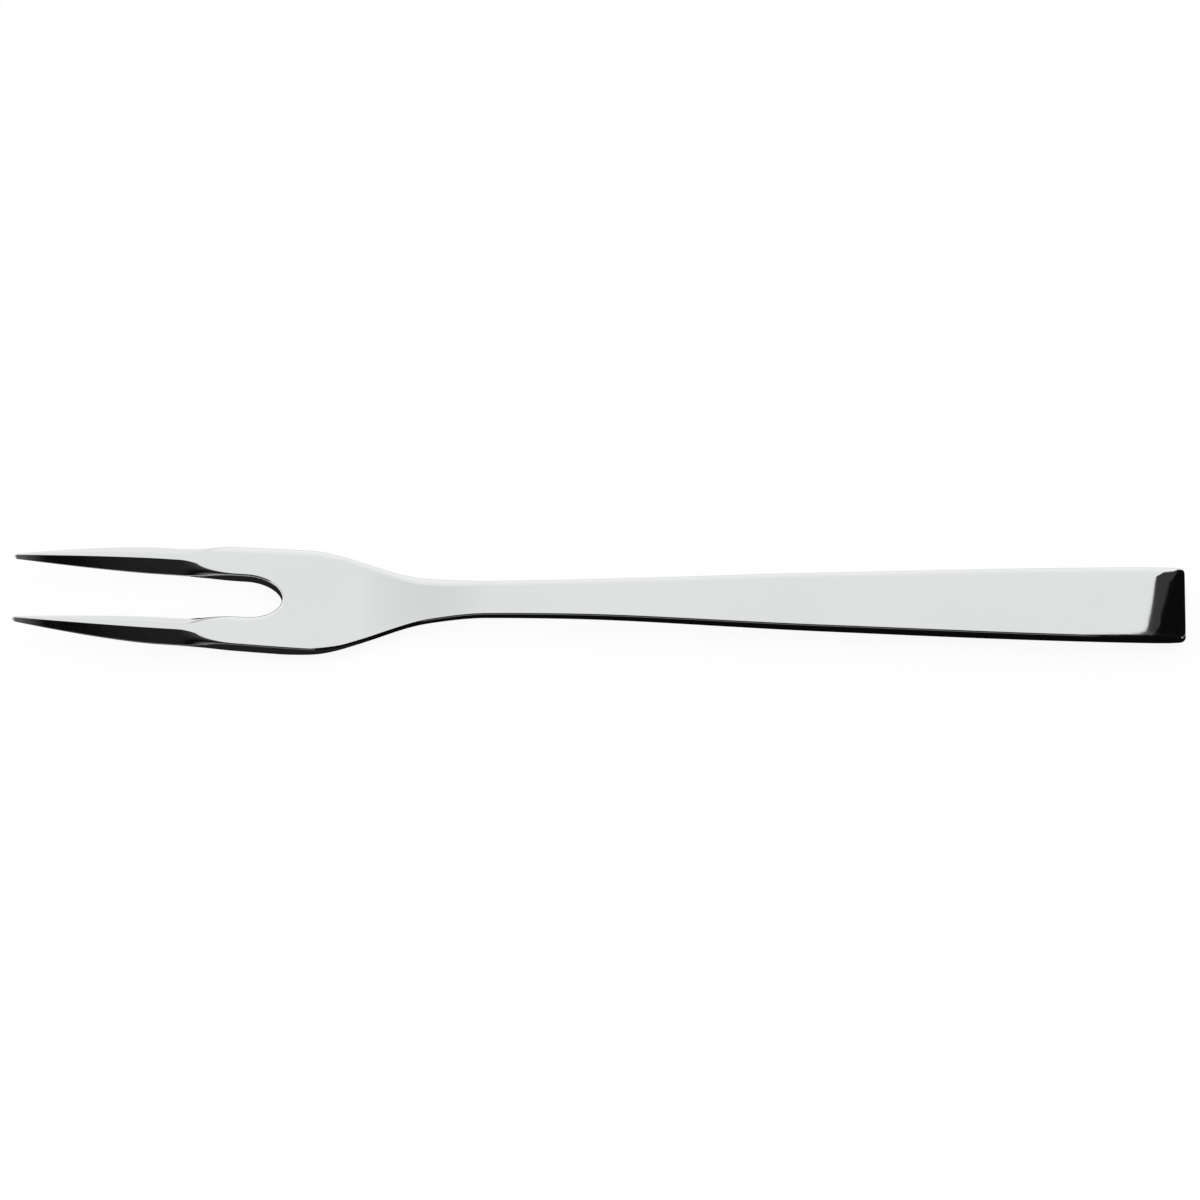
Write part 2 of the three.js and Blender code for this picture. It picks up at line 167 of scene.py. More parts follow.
@dataclass(frozen=True)
class ForkLines:
    """The fork's driving sizes and the long curves that its pieces share."""

    tine_length: float = 0.0595
    crown_length: float = 0.0455
    handle_length: float = 0.155
    taper_length: float = 0.032
    bevel_length: float = 0.0365
    bevel_runout: float = 0.0125
    slot_end_length: float = 0.008
    shoulder_setback: float = 0.006
    belly_setback: float = 0.0135
    belly_length: float = 0.0035
    neck_length: float = 0.0125
    waist_length: float = 0.015
    arch_length: float = 0.035
    grip_setback: float = 0.075
    rest_length: float = 0.043
    head_width: float = 0.02619
    tine_spread: float = 0.0252
    slot_width: float = 0.0107
    slot_mouth_width: float = 0.0112
    neck_start_width: float = 0.0109
    neck_width: float = 0.009
    waist_width: float = 0.0093
    grip_width: float = 0.0142
    end_width: float = 0.0186
    head_depth: float = 0.0033
    neck_depth: float = 0.0042
    neck_height: float = 0.0014
    handle_depth: float = 0.0063
    neck_side: float = 0.00105
    grip_side: float = 0.0017
    edge_radius: float = 0.0006
    rounding_share: float = 0.7
    buffed_reach: float = 0.0026
    buffed_depth: float = 0.00006
    rim_reach: float = 0.0012

    @property
    def mouth_at(self) -> float:
        """Where the neck meets the mouth of the handle."""
        return self.tine_length + self.crown_length

    @property
    def end_at(self) -> float:
        """The end of the handle, which is the fork's whole length."""
        return self.mouth_at + self.handle_length

    @property
    def runout_at(self) -> float:
        """Where the ground bevels of the tines have run out."""
        return self.bevel_length + self.bevel_runout

    @property
    def slot_end_at(self) -> float:
        """Where the slot's round end begins."""
        return self.tine_length - self.slot_end_length

    @property
    def belly_at(self) -> float:
        """Where the head touches the table."""
        return self.tine_length + self.belly_setback

    @cached_property
    def half_width(self) -> SmoothCurve:
        """The outer half width behind the tapering tips."""
        return SmoothCurve(
            (self.taper_length, self.tine_spread / 2),
            (self.tine_length + self.shoulder_setback, self.head_width / 2),
            (self.mouth_at - self.neck_length, self.neck_start_width / 2),
            (self.mouth_at, self.neck_width / 2),
            (self.mouth_at + self.waist_length, self.waist_width / 2),
            (self.mouth_at + self.grip_setback, self.grip_width / 2),
            (self.end_at, self.end_width / 2),
        )

    @cached_property
    def depth(self) -> SmoothCurve:
        """The depth behind the tapering tips."""
        return SmoothCurve(
            (self.taper_length, self.head_depth),
            (self.belly_at + self.belly_length, self.head_depth),
            (self.mouth_at, self.neck_depth),
            (self.end_at - self.rest_length, self.handle_depth),
            (self.end_at, self.handle_depth),
        )

    @cached_property
    def top(self) -> SmoothCurve:
        """The height of the face from the belly of the head to the end of the handle."""
        return SmoothCurve(
            (self.belly_at, self.head_depth),
            (self.belly_at + self.belly_length, self.head_depth),
            (self.mouth_at, self.neck_height + self.neck_depth),
            (self.mouth_at + self.arch_length, self.handle_depth),
            (self.end_at, self.handle_depth),
        )

    @cached_property
    def side_height(self) -> SmoothCurve:
        """The height of the flat side that the face turns down into, behind the slot."""
        return SmoothCurve(
            (self.tine_length, self.neck_side),
            (self.mouth_at + self.arch_length, self.neck_side),
            (self.end_at - self.rest_length, self.grip_side),
            (self.end_at, self.grip_side),
        )

    def seam(self, place: float) -> float:
        """Returns the height of the seam between the two halves of the handle."""
        return self.top(place) - self.side_height(place)

    def middle(self, place: float) -> float:
        """Returns the height of the middle of the fork's depth."""
        return self.top(place) - self.depth(place) / 2

    def from_middle(self, place: float) -> float:
        """Returns the X coordinate of a place that is measured from the tips."""
        return place - self.end_at / 2

    def buffed(self, distance: float) -> float:
        """Returns how far polishing has drawn a face down at a distance from its rim, or past the rim."""
        share = max(1.0 - distance / self.buffed_reach, 0.0)
        return self.buffed_depth * (share * share if share < 1.0 else 2.0 * share - 1.0)

    def rim(self, distance: float) -> float:
        """Returns the nearness to a rim of a point at a distance from it."""
        return clamp(1.0 - distance / self.rim_reach)


def corner(start: Pair, knee: Pair, end: Pair, steps: int, roundness: float = 1.0) -> list[SectionPoint]:
    """Draws one corner of a section.

    Args:
        start: Where the corner leaves the first side, as (y, z).
        knee: Where the two sides would meet.
        end: Where the corner reaches the second side.
        steps: How many facets it has.
        roundness: 1 for a quarter of an ellipse, 0 for a flat bevel.

    Returns:
        The points from start to end, both included.
    """
    points = []
    for step, angle in enumerate(even_places(0.0, math.pi / 2, steps)):
        place = []
        for a, k, b in zip(start, knee, end):
            around = a + (k - a) * math.sin(angle) + (b - k) * (1.0 - math.cos(angle))
            place.append(blend(blend(a, b, step / steps), around, roundness))
        points.append(SectionPoint(place[0], place[1], 1.0))
    return points


def side(lines: ForkLines, start: SectionPoint, end: SectionPoint, steps: int) -> list[SectionPoint]:
    """Draws one flat side of a section, with its points closer together towards its ends.

    Args:
        lines: The fork's sizes.
        start: The point that the side leaves.
        end: The point that it reaches.
        steps: How many facets it has.

    Returns:
        The points between start and end, without those two.
    """
    length = math.hypot(end.y - start.y, end.z - start.z)
    points = []
    for angle in even_places(0.0, math.pi, steps)[1:-1]:
        share = (1.0 - math.cos(angle)) / 2
        distance = length * min(share, 1.0 - share)
        y, z = blend(start.y, end.y, share), blend(start.z, end.z, share)
        points.append(SectionPoint(y, z, lines.rim(distance)))
    return points


def mirrored(points: Sequence[SectionPoint]) -> list[SectionPoint]:
    """Returns points of a section carried over to its other side, in the opposite order."""
    return [point._replace(y=-point.y) for point in reversed(points)]


def wrap_sheet(bm: BMesh, rows: Sequence[Sequence[SurfacePoint]]) -> None:
    """Makes a flat sheet and moves it onto rows of surface points.

    Args:
        bm: The mesh that the sheet is added to. Its vertices carry a float layer named rim.
        rows: Rows of points, all of one length.
    """
    rim = bm.verts.layers.float["rim"]
    steps, columns = len(rows) - 1, len(rows[0]) - 1
    sheet = bmesh.ops.create_grid(bm, x_segments=steps, y_segments=columns, size=0.5)
    for vert in sheet["verts"]:
        point = rows[round((vert.co.x + 0.5) * steps)][round((vert.co.y + 0.5) * columns)]
        vert.co = point[:3]
        vert[rim] = point.rim


def new_mesh() -> BMesh:
    """Returns an empty mesh whose vertices have a float layer named rim."""
    bm = bmesh.new()
    bm.verts.layers.float.new("rim")
    return bm


def add_object(bm: BMesh, name: str, material: Material) -> Object:
    """Turns a mesh into an object at the origin.

    Args:
        bm: The mesh, which is freed.
        name: The object's name.
        material: Its material.

    Returns:
        The new object, linked to the scene.
    """
    mesh = bpy.data.meshes.new(name)
    bm.to_mesh(mesh)
    bm.free()
    mesh.materials.append(material)
    made = bpy.data.objects.new(name, mesh)
    bpy.context.scene.collection.objects.link(made)
    return made


def steel_piece(bm: BMesh, name: str, finish: Material) -> Object:
    """Turns a closed mesh into a smooth-shaded piece whose real edges stay sharp.

    Args:
        bm: The mesh, which is freed.
        name: The piece's name.
        finish: Its material.

    Returns:
        The piece, linked to the scene.
    """
    bmesh.ops.recalc_face_normals(bm, faces=bm.faces)
    piece = add_object(bm, name, finish)
    piece.data.shade_smooth()
    piece.data.set_sharp_from_angle(angle=SHARP_ANGLE)
    return piece


class Socket(Enum):
    """The kinds of socket that the finishes' node groups have."""

    VALUE = "NodeSocketFloat"
    VECTOR = "NodeSocketVector"


class Board:
    """Places nodes in a tree and wires them up."""

    def __init__(self, tree: NodeTree) -> None:
        """Keeps the tree that the nodes go into."""
        self.tree = tree

    def feed(self, socket: NodeSocket, value: object) -> None:
        """Sets or feeds an input.

        Args:
            socket: The input.
            value: A plain value, or the output socket that feeds it.
        """
        if isinstance(value, NodeSocket):
            self.tree.links.new(value, socket)
        else:
            socket.default_value = value

    def node(self, kind: str, values: dict | None = None, **settings: object) -> Node:
        """Adds a node.

        Args:
            kind: The node's type.
            values: For each input by name or number, a plain value or the output socket that feeds it.
            settings: The node's own properties, which are set first.

        Returns:
            The new node.
        """
        made = self.tree.nodes.new(kind)
        for name, value in settings.items():
            setattr(made, name, value)
        for name, value in (values or {}).items():
            self.feed(made.inputs[name], value)
        return made

    def math(self, operation: str, *values: object) -> NodeSocket:
        """Returns the output of a new Math node, whose inputs are plain values or sockets."""
        return self.node("ShaderNodeMath", dict(enumerate(values)), operation=operation).outputs[0]

    def stretched(self, vector: NodeSocket, along: object, across: object) -> NodeSocket:
        """Returns coordinates scaled by one value along the fork and by another across it."""
        scale = self.node("ShaderNodeCombineXYZ", {"X": along, "Y": across, "Z": across}).outputs[0]
        return self.node("ShaderNodeVectorMath", {0: vector, 1: scale}, operation="MULTIPLY").outputs[0]

    def noise(self, vector: NodeSocket, scale: object, detail: float) -> NodeSocket:
        """Returns the value, from 0 to 1, of a new noise texture with a scale in features per metre."""
        values = {"Vector": vector, "Scale": scale, "Detail": detail}
        return self.node("ShaderNodeTexNoise", values).outputs["Fac"]

    def between(self, value: NodeSocket, low: float, high: float, start: float, end: float) -> NodeSocket:
        """Returns a value mapped so that low becomes start and high becomes end, held to those two."""
        values = {"Value": value, "From Min": low, "From Max": high, "To Min": start, "To Max": end}
        return self.node("ShaderNodeMapRange", values, clamp=True).outputs["Result"]

    def effect(self, group: NodeTree, values: dict) -> Node:
        """Returns a new node of a shared effect, with its inputs set or fed."""
        return self.node("ShaderNodeGroup", values, node_tree=group)


class Effect(Board):
    """A shader node group under construction, with named inputs and outputs."""

    def __init__(self, name: str, values: Sequence[str], outputs: Sequence[str]) -> None:
        """Makes the group and its sockets, of which the first is for coordinates.

        Args:
            name: The effect's name.
            values: The names of its other inputs, which are all values.
            outputs: The names of its outputs, which are all values.
        """
        super().__init__(bpy.data.node_groups.new(name, "ShaderNodeTree"))
        self.tree.interface.new_socket("Vector", in_out="INPUT", socket_type=Socket.VECTOR.value)
        for label in values:
            self.tree.interface.new_socket(label, in_out="INPUT", socket_type=Socket.VALUE.value)
        for label in outputs:
            self.tree.interface.new_socket(label, in_out="OUTPUT", socket_type=Socket.VALUE.value)
        self.inputs = self.tree.nodes.new("NodeGroupInput").outputs
        self.outputs = self.tree.nodes.new("NodeGroupOutput").inputs
        self.vector = self.inputs["Vector"]


@dataclass
class Effects:
    """The surface effects that the finishes share, each built once."""

    fine_scale: float = 3.7
    fine_share: float = 0.4
    haze_range: Pair = (0.4, 0.75)
    streak_along: float = 0.4
    streak_across: float = 1.6
    patch_range: Pair = (0.35, 0.65)
    least_wear: float = 0.2
    grain_scale: float = 6.0

    @cached_property
    def polishing_lines(self) -> NodeTree:
        """Fine lines left by the polishing wheel along the fork, as a value from 0 to 1."""
        effect = Effect("Polishing lines", ["Along", "Across"], ["Lines"])
        vector = effect.stretched(effect.vector, effect.inputs["Along"], effect.inputs["Across"])
        broad = effect.noise(vector, 1.0, detail=2.0)
        fine = effect.noise(vector, self.fine_scale, detail=1.0)
        broad = effect.math("MULTIPLY", broad, 1.0 - self.fine_share)
        effect.feed(effect.outputs["Lines"], effect.math("MULTIPLY_ADD", fine, self.fine_share, broad))
        return effect.tree

    @cached_property
    def handling_haze(self) -> NodeTree:
        """Faint cloudy marks of handling and washing, as a value from 0 to 1."""
        effect = Effect("Handling haze", ["Scale"], ["Haze"])
        scale = effect.inputs["Scale"]
        clouds = effect.between(effect.noise(effect.vector, scale, detail=4.0), *self.haze_range, 0.0, 1.0)
        drawn_out = effect.stretched(effect.vector, self.streak_along, self.streak_across)
        streaks = effect.noise(drawn_out, scale, detail=2.0)
        effect.feed(effect.outputs["Haze"], effect.math("MULTIPLY", clouds, streaks))
        return effect.tree

    @cached_property
    def rim_wear(self) -> NodeTree:
        """Patchy fine wear along rims, as a value from 0 to 1."""
        effect = Effect("Rim wear", ["Rim", "Scale"], ["Wear"])
        patches = effect.noise(effect.vector, effect.inputs["Scale"], detail=3.0)
        patches = effect.between(patches, *self.patch_range, self.least_wear, 1.0)
        effect.feed(effect.outputs["Wear"], effect.math("MULTIPLY", effect.inputs["Rim"], patches))
        return effect.tree

    @cached_property
    def mottle(self) -> NodeTree:
        """The uneven grain of a metal or paste that has run and set, as a value from 0 to 1."""
        effect = Effect("Set mottle", ["Scale"], ["Mottle", "Grain"])
        scale = effect.inputs["Scale"]
        finer = effect.math("MULTIPLY", scale, self.grain_scale)
        effect.feed(effect.outputs["Mottle"], effect.noise(effect.vector, scale, detail=3.0))
        effect.feed(effect.outputs["Grain"], effect.noise(effect.vector, finer, detail=4.0))
        return effect.tree


class FinishBoard(Board):
    """A new material's node tree, with its Principled shader and object coordinates at hand."""

    def __init__(self, name: str) -> None:
        """Makes the material.

        Args:
            name: The finish's name.
        """
        self.material = bpy.data.materials.new(name)
        self.material.use_nodes = True
        super().__init__(self.material.node_tree)
        self.shader = self.tree.nodes["Principled BSDF"]
        self.coordinates = self.tree.nodes.new("ShaderNodeTexCoord").outputs["Object"]

    def set(self, **values: object) -> None:
        """Sets or feeds the shader's sockets, named with underscores for spaces."""
        for name, value in values.items():
            self.feed(self.shader.inputs[name.replace("_", " ")], value)

    def tinted(self, first: Triple, last: Triple, share: NodeSocket) -> NodeSocket:
        """Mixes two colours by a value that changes over the surface.

        Args:
            first: The colour at 0.
            last: The colour at 1.
            share: The value's socket.

        Returns:
            The mixed colour's socket.
        """
        ramp = self.node("ShaderNodeValToRGB", {"Fac": share})
        for stop, colour in zip(ramp.color_ramp.elements, (first, last)):
            stop.color = (*colour, 1.0)
        return ramp.outputs["Color"]

    def bumped(self, height: NodeSocket, distance: float) -> NodeSocket:
        """Returns the socket of a normal that is bumped by a height of up to a distance."""
        return self.node("ShaderNodeBump", {"Height": height, "Distance": distance}).outputs["Normal"]


@dataclass(frozen=True)
class PolishedSteel:
    """Mirror-polished stainless steel with fine lengthwise polishing lines and worn rims."""

    name: str
    lines_along: float = 55.0
    lines_across: float = 2600.0
    line_depth: float = 2.2e-7
    haze_scale: float = 38.0
    wear_scale: float = 420.0
    clear_roughness: float = 0.02
    hazy_roughness: float = 0.036
    worn_roughness: float = 0.04
    clear_colour: Triple = (0.738, 0.754, 0.749)
    hazy_colour: Triple = (0.705, 0.722, 0.717)

    def material(self, effects: Effects) -> Material:
        """Builds the finish.

        Args:
            effects: The shared surface effects.

        Returns:
            The material.
        """
        board = FinishBoard(self.name)
        place = {"Vector": board.coordinates}
        strokes = {"Along": self.lines_along, "Across": self.lines_across}
        lines = board.effect(effects.polishing_lines, place | strokes).outputs["Lines"]
        haze = board.effect(effects.handling_haze, place | {"Scale": self.haze_scale}).outputs["Haze"]
        rim = board.node("ShaderNodeAttribute", attribute_name="rim").outputs["Fac"]
        wear = board.effect(effects.rim_wear, place | {"Rim": rim, "Scale": self.wear_scale}).outputs["Wear"]
        roughness = board.between(haze, 0.0, 1.0, self.clear_roughness, self.hazy_roughness)
        roughness = board.math("MULTIPLY_ADD", wear, self.worn_roughness, roughness)
        board.set(
            Base_Color=board.tinted(self.clear_colour, self.hazy_colour, haze),
            Metallic=1.0,
            Roughness=roughness,
            Normal=board.bumped(lines, self.line_depth),
        )
        return board.material


class Pattern(Enum):
    """The two patterns of something that has run and set, by the names of their sockets."""

    MOTTLE = "Mottle"
    GRAIN = "Grain"


@dataclass(frozen=True)
class SetFill:
    """A metal or paste that ran into place and set, mottled and grained all over."""

    name: str
    mottle_scale: float
    grain_depth: float
    dark: Triple
    pale: Triple
    metallic: float
    roughened_by: Pattern
    roughness: Pair
    pattern_range: Pair = (0.3, 0.7)

    def material(self, effects: Effects) -> Material:
        """Builds the finish.

        Args:
            effects: The shared surface effects.

        Returns:
            The material.
        """
        board = FinishBoard(self.name)
        values = {"Vector": board.coordinates, "Scale": self.mottle_scale}
        mottle = board.effect(effects.mottle, values).outputs
        roughener = mottle[self.roughened_by.value]
        board.set(
            Base_Color=board.tinted(self.dark, self.pale, mottle["Mottle"]),
            Metallic=self.metallic,
            Roughness=board.between(roughener, *self.pattern_range, *self.roughness),
            Normal=board.bumped(mottle["Grain"], self.grain_depth),
        )
        return board.material


RUN_SOLDER = SetFill(
    name="run_solder",
    mottle_scale=700.0,
    grain_depth=0.00002,
    dark=(0.44, 0.41, 0.34),
    pale=(0.6, 0.57, 0.5),
    metallic=1.0,
    roughened_by=Pattern.MOTTLE,
    roughness=(0.5, 0.28),
)
SET_CEMENT = SetFill(
    name="set_cement",
    mottle_scale=320.0,
    grain_depth=0.00008,
    dark=(0.2, 0.175, 0.145),
    pale=(0.34, 0.31, 0.26),
    metallic=0.0,
    roughened_by=Pattern.GRAIN,
    roughness=(0.82, 0.96),
)


class HeadForm(NamedTuple):
    """The plain sizes of one half of the head at one place along the fork."""

    outer: float
    inner: float
    top: float
    bottom: float
    bevel: float
    top_cut: Pair
    under_cut: Pair
    inner_under_cut: Pair


@dataclass
class ForkHead:
    """The forged head: two ground tines, the crown, the neck and the notched tang behind it."""

    lines: ForkLines
    tip_spacing: float = 0.0163
    tip_width: float = 0.0013
    tip_depth: float = 0.0011
    tip_round: float = 0.0007
    ridge_width: float = 0.0011
    bevel_depth: float = 0.0023
    under_bevel_width: float = 0.0016
    under_bevel_depth: float = 0.0009
    tine_lift: float = math.radians(5.4)
    belly_bend: float = 0.0025
    taper_fullness: float = 1.5
    underside_share: float = 0.27
    slot_rim_reach: float = 0.003
    tang_length: float = 0.055
    tang_width: float = 0.0044
    tang_tip_width: float = 0.0032
    tang_depth: float = 0.0015
    tang_squareness: float = 0.35
    notch_radius: float = 0.0009
    notch_setback: float = 0.020
    notch_spacing: float = 0.014
    notch_count: int = 3
    edge_share: float = 0.25
    tip_steps: int = 8
    taper_steps: int = 44
    straight_steps: int = 4
    runout_steps: int = 44
    slot_end_steps: int = 30
    rim_steps: int = 8
    neck_steps: int = 80
    corner_steps: int = 12
    face_steps: int = 16
    wall_steps: int = 4
    under_steps: int = 12
    tang_steps: int = 72

    def fill(self, place: float) -> float:
        """Returns how far a tine has filled out, 0 at the tip and 1 where the taper ends."""
        return 1.0 - (1.0 - clamp(place / self.lines.taper_length)) ** self.taper_fullness

    def slot_half_width(self, place: float) -> float:
        """Gives half the width of the slot between the tines.

        Args:
            place: Where along the fork.

        Returns:
            The half width, which closes in an elliptic end and is 0 behind it.
        """
        lines = self.lines
        past = clamp((place - lines.slot_end_at) / lines.slot_end_length)
        narrowed = ease(place, lines.taper_length, lines.slot_end_at)
        return blend(lines.slot_mouth_width, lines.slot_width, narrowed) / 2 * math.sqrt(1.0 - past * past)

    def slot_distance(self, place: float, y: float) -> float:
        """Gives the distance from the slot's outline, measured square to it.

        Args:
            place: Where along the fork, behind the start of the slot's round end.
            y: Where across it.

        Returns:
            The distance, to first order near the outline.
        """
        along, across = self.lines.slot_end_length, self.lines.slot_width / 2
        run = place - self.lines.slot_end_at
        reach = math.hypot(run / along, y / across)
        slope = math.hypot(run / along ** 2, y / across ** 2) / reach
        return max(reach - 1.0, 0.0) / slope

    def form(self, place: float) -> HeadForm:
        """Works out the plain sizes of one half of the head.

        Args:
            place: Where along the fork.

        Returns:
            The sizes there.
        """
        lines = self.lines
        fill = self.fill(place)
        bevel = 1.0 - ease(place, lines.bevel_length, lines.runout_at)
        in_tine = place < lines.belly_at
        depth = blend(self.tip_depth, lines.head_depth, fill) if in_tine else lines.depth(place)
        reach = max(lines.belly_at - place, 0.0)
        lift = math.tan(self.tine_lift) * (math.hypot(reach, self.belly_bend) - self.belly_bend)
        lost = self.underside_share * (lines.head_depth - depth)
        bottom = lift + lost if in_tine else lines.top(place) - depth
        outer, inner = lines.half_width(place), self.slot_half_width(place)
        full_width = (lines.tine_spread - lines.slot_mouth_width) / 2
        width = blend(self.tip_width, outer - inner, fill)
        if place < lines.taper_length:
            middle = blend(self.tip_spacing / 2, (outer + inner) / 2, fill)
            outer, inner = middle + width / 2, middle - width / 2
        edge = min(lines.edge_radius, depth * self.edge_share)
        wide, deep = width / full_width, depth / lines.head_depth
        top_cut = (
            blend(edge, wide * (full_width - self.ridge_width) / 2, bevel),
            blend(edge, deep * self.bevel_depth, bevel),
        )
        tine_under_cut = (
            blend(edge, wide * self.under_bevel_width, bevel),
            blend(edge, deep * self.under_bevel_depth, bevel),
        )
        rounding = ease(place, lines.tine_length, lines.belly_at + lines.belly_length)
        round_depth = depth - lines.side_height(place)
        under_cut = (blend(edge, lines.rounding_share * outer, rounding), blend(edge, round_depth, rounding))
        return HeadForm(
            outer, inner, bottom + depth, bottom, bevel, top_cut,
            tine_under_cut if place < lines.tine_length else under_cut, tine_under_cut,
        )

    def slot_side_width(self, place: float) -> float:
        """Gives how wide the rounded rim beside the slot is when it is measured straight across the fork.

        Args:
            place: Where along the fork, behind the start of the slot's round end.

        Returns:
            The width, which grows where the slot's outline turns across the fork.
        """
        lines = self.lines
        past = (place - lines.slot_end_at) / lines.slot_end_length
        if past >= 1.0:
            return self.slot_rim_reach
        slope = lines.slot_width / 2 / lines.slot_end_length * past / math.sqrt(1.0 - past * past)
        return min(lines.edge_radius * math.hypot(1.0, slope), self.slot_rim_reach)

    def rim_drop(self, place: float, y: float) -> float:
        """Returns how far the rounded rim round the slot's end lies below the face."""
        radius = self.lines.edge_radius
        return radius - math.sqrt(radius ** 2 - max(radius - self.slot_distance(place, y), 0.0) ** 2)

    def section(self, place: float) -> list[SectionPoint]:
        """Draws the closed section of one half of the head.

        Args:
            place: Where along the fork.

        Returns:
            The points, from the top of the outer wall over the face, with the first repeated at the end.
        """
        form = self.form(place)
        behind_sides = place > self.lines.slot_end_at
        roundness = 1.0 - form.bevel
        outer, inner, top, bottom = form.outer, form.inner, form.top, form.bottom
        cut, inner_cut = form.top_cut, form.top_cut
        under, inner_under = form.under_cut, form.inner_under_cut
        if behind_sides:
            width = self.slot_side_width(place)
            inner_cut = (min(width, (outer - cut[0]) / 2), cut[1])
            inner_under = (min(width, (outer - under[0]) / 2), inner_under[1])
        start, end = (outer, top - cut[1]), (outer - cut[0], top)
        outer_top = corner(start, (outer, top), end, self.corner_steps, roundness)
        start, end = (inner + inner_cut[0], top), (inner, top - inner_cut[1])
        inner_top = corner(start, (inner, top), end, self.corner_steps, roundness)
        start, end = (inner, bottom + inner_under[1]), (inner + inner_under[0], bottom)
        inner_bottom = corner(start, (inner, bottom), end, self.under_steps, roundness)
        start, end = (outer - under[0], bottom), (outer, bottom + under[1])
        outer_bottom = corner(start, (outer, bottom), end, self.under_steps, roundness)
        face = side(self.lines, outer_top[-1], inner_top[0], self.face_steps)
        sole = side(self.lines, inner_bottom[-1], outer_bottom[0], self.face_steps)
        if behind_sides:
            inner_top = [point._replace(z=top) for point in inner_top]
        outer_top, face, inner_top = (
            [self.buffed_point(place, point, form) for point in points]
            for points in (outer_top, face, inner_top)
        )
        if behind_sides:
            face = [self.rimmed_point(place, point, -1.0) for point in face]
            inner_top = [self.rimmed_point(place, point, -1.0) for point in inner_top]
            inner_bottom = [self.rimmed_point(place, point._replace(z=bottom), 1.0) for point in inner_bottom]
            sole = [self.rimmed_point(place, point, 1.0) for point in sole]
        inner_wall = side(self.lines, inner_top[-1], inner_bottom[0], self.wall_steps)
        outer_wall = side(self.lines, outer_bottom[-1], outer_top[0], self.wall_steps)
        ring = outer_top + face + inner_top + inner_wall + inner_bottom + sole + outer_bottom + outer_wall
        return self.rounded_tip(place, ring + ring[:1])

    def buffed_point(self, place: float, point: SectionPoint, form: HeadForm) -> SectionPoint:
        """Draws a point of the face down where polishing has softened it beside a rim.

        Args:
            place: Where along the fork.
            point: The point on the flat face.
            form: The section's sizes.

        Returns:
            The softened point.
        """
        to_slot = point.y - form.inner - form.top_cut[0]
        if place > self.lines.slot_end_at:
            to_slot = self.slot_distance(place, point.y) - self.lines.edge_radius
        distance = min(form.outer - form.top_cut[0] - point.y, to_slot)
        return point._replace(z=point.z - self.lines.buffed(distance) * (1.0 - form.bevel))

    def rimmed_point(self, place: float, point: SectionPoint, way: float) -> SectionPoint:
        """Returns a point of the face (way -1) or the sole (way 1) moved onto the rim of the slot's end."""
        nearness = self.lines.rim(self.slot_distance(place, point.y))
        return point._replace(z=point.z + way * self.rim_drop(place, point.y), rim=nearness)

    def rounded_tip(self, place: float, ring: list[SectionPoint]) -> list[SectionPoint]:
        """Draws a section in towards its middle at the blunt point of a tine.

        Args:
            place: Where along the fork.
            ring: The section's points.

        Returns:
            The points, all together at the very tip.
        """
        short = clamp(1.0 - place / self.tip_round)
        size = math.sqrt(1.0 - short * short)
        y = (max(point.y for point in ring) + min(point.y for point in ring)) / 2
        z = (max(point.z for point in ring) + min(point.z for point in ring)) / 2
        return [point._replace(y=blend(y, point.y, size), z=blend(z, point.z, size)) for point in ring]

    def places(self) -> list[float]:
        """Returns the places along the head where a section is drawn, closest where it bends most."""
        lines = self.lines
        return in_order(
            [self.tip_round - place for place in round_places(0.0, self.tip_round, self.tip_steps)],
            even_places(self.tip_round, lines.taper_length, self.taper_steps),
            even_places(lines.taper_length, lines.bevel_length, self.straight_steps),
            even_places(lines.bevel_length, lines.runout_at, self.runout_steps),
            even_places(lines.runout_at, lines.slot_end_at, self.straight_steps),
            round_places(lines.slot_end_at, lines.slot_end_length, self.slot_end_steps),
            even_places(lines.tine_length, lines.tine_length + lines.edge_radius, self.rim_steps),
            even_places(lines.tine_length + lines.edge_radius, lines.mouth_at, self.neck_steps),
        )

    def tang_half_width(self, place: float) -> float:
        """Gives half the width of the tang, with the round notches that key it into the cement.

        Args:
            place: Where along the fork.

        Returns:
            The half width there.
        """
        start = self.lines.mouth_at
        half = blend(self.tang_width, self.tang_tip_width, (place - start) / self.tang_length) / 2
        for index in range(self.notch_count):
            off = place - (start + self.notch_setback + index * self.notch_spacing)
            if abs(off) < self.notch_radius:
                half = min(half, self.tang_width / 2 - math.sqrt(self.notch_radius ** 2 - off * off))
        return half

    def add_tang(self, bm: BMesh) -> None:
        """Closes the back of the neck and draws the tang out of it.

        Args:
            bm: The head's mesh, open at the back of the neck.
        """
        lines = self.lines
        start = lines.mouth_at
        turn = bm.verts.layers.float.new("turn")
        half, deep = lines.half_width(start), lines.depth(start) / 2
        open_edges = [edge for edge in bm.edges if edge.is_boundary]
        for vert in {vert for edge in open_edges for vert in edge.verts}:
            vert[turn] = math.atan2((vert.co.z - lines.middle(start)) / deep, vert.co.y / half)
        cap = bmesh.ops.holes_fill(bm, edges=open_edges)["faces"]
        for place in [start, *even_places(start, start + self.tang_length, self.tang_steps)[1:]]:
            cap = bmesh.ops.extrude_discrete_faces(bm, faces=cap)["faces"]
            half, middle = self.tang_half_width(place), lines.middle(place)
            for vert in cap[0].verts:
                across, up = (
                    math.copysign(abs(share) ** self.tang_squareness, share)
                    for share in (math.cos(vert[turn]), math.sin(vert[turn]))
                )
                vert.co = (lines.from_middle(place), across * half, middle + up * self.tang_depth / 2)
        bm.verts.layers.float.remove(turn)

